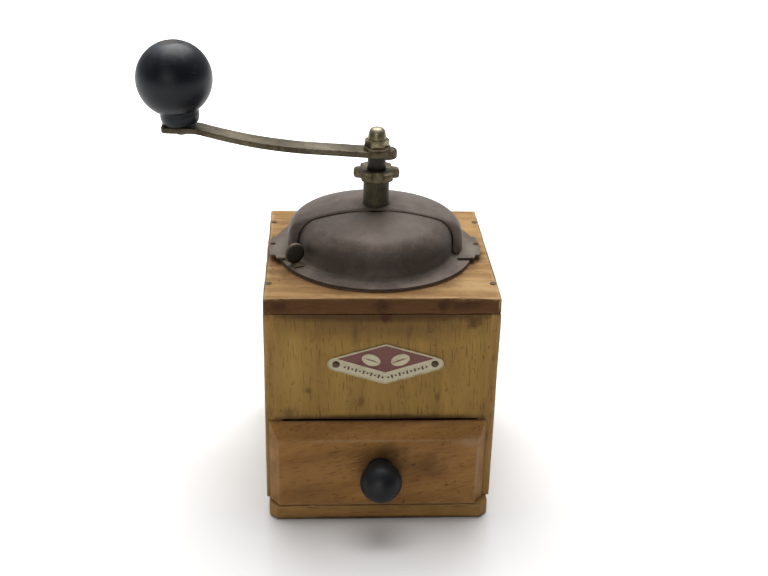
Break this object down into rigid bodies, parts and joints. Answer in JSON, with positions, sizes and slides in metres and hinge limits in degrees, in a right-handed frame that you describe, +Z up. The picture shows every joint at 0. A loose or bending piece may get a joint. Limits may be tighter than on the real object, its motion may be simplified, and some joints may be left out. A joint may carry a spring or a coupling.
{
  "type": "box coffee mill",
  "caption": "Free-standing hand coffee mill: wooden case with a front drawer, turning lid under a sheet-metal hood, conical burrs, crank with a ball knob.",
  "frame": {"origin": "middle of the case at floor level: the centre of the base board's underside, below the top board's centre", "axes": "+Z up along the spindle, -Y out of the front where the drawer and the badge are, +X to the right seen from the front; the crank points to -X at rest"},
  "size_m": [0.163, 0.1338, 0.213],
  "materials": {
    "case_wood": "worn varnish",
    "top_wood": "worn varnish",
    "drawer_wood": "worn varnish",
    "tray_wood": "raw",
    "badge_enamel": "satin",
    "hood_steel": "satin, rusty",
    "bowl_steel": "dull",
    "burr_steel": "machined, dark",
    "aged_brass": "patinated",
    "dark_steel": "browned",
    "screw_steel": "dull",
    "knob_black": "satin lacquer"
  },
  "bodies": {
    "case": {"base_board": "case_wood", "left_side": "case_wood", "right_side": "case_wood", "front_panel": "case_wood", "back_panel": "case_wood", "top_board": "top_wood", "board_nails": "dark_steel", "base_screws": "screw_steel", "badge": "badge_enamel", "badge_nails": "dark_steel", "hopper_bowl": "bowl_steel", "fixed_burr": "burr_steel", "bridge": "burr_steel", "bridge_screws": "screw_steel", "bridge_nuts": "screw_steel", "hood": "hood_steel", "hood_nails": "dark_steel", "bearing_bush": "aged_brass"},
    "lid": {"lid": "hood_steel", "finger_tab": "hood_steel", "tab_rivet": "dark_steel"},
    "thrust_washer": {"thrust_washer": "aged_brass"},
    "star_nut": {"star_nut": "aged_brass"},
    "spindle": {"spindle": "dark_steel", "turning_burr": "burr_steel", "burr_nut": "screw_steel", "crank_arm": "aged_brass", "crank_washer": "aged_brass", "cap_nut": "aged_brass", "knob_pin": "dark_steel"},
    "ball_knob": {"ball_knob": "knob_black"},
    "drawer": {"drawer_front": "drawer_wood", "tray_left": "tray_wood", "tray_right": "tray_wood", "tray_back": "tray_wood", "tray_bottom": "tray_wood", "drawer_knob": "knob_black", "knob_screw": "screw_steel", "tray_nails": "dark_steel"}
  },
  "joints": [
    {"name": "crank_turn", "type": "hinge", "parent": "case", "child": "thrust_washer", "pos_m": [-0.0015, 0, 0.15], "axis": [0, 0, 1], "continuous": true},
    {"name": "adjust_turn", "type": "hinge", "parent": "thrust_washer", "child": "star_nut", "pos_m": [-0.0015, 0, 0.152], "axis": [0, 0, 1], "range_deg": [-180, 180]},
    {"name": "spindle_lift", "type": "slide", "parent": "thrust_washer", "child": "spindle", "axis": [0, 0, 1], "range_m": [-0.0005, 0.0005]},
    {"name": "knob_spin", "type": "hinge", "parent": "spindle", "child": "ball_knob", "pos_m": [-0.0905, 0, 0.1745], "axis": [-0.1045, 0, 0.9945], "continuous": true},
    {"name": "lid_turn", "type": "hinge", "parent": "case", "child": "lid", "pos_m": [-0.0015, 0, 0.113], "axis": [0, 0, 1], "range_deg": [0, 120]},
    {"name": "drawer_slide", "type": "slide", "parent": "case", "child": "drawer", "axis": [0, -1, 0], "range_m": [0, 0.075]}
  ],
  "couplings": [
    {"joint": "adjust_turn", "follows": "spindle_lift", "rad_per_m": -6283}
  ]
}
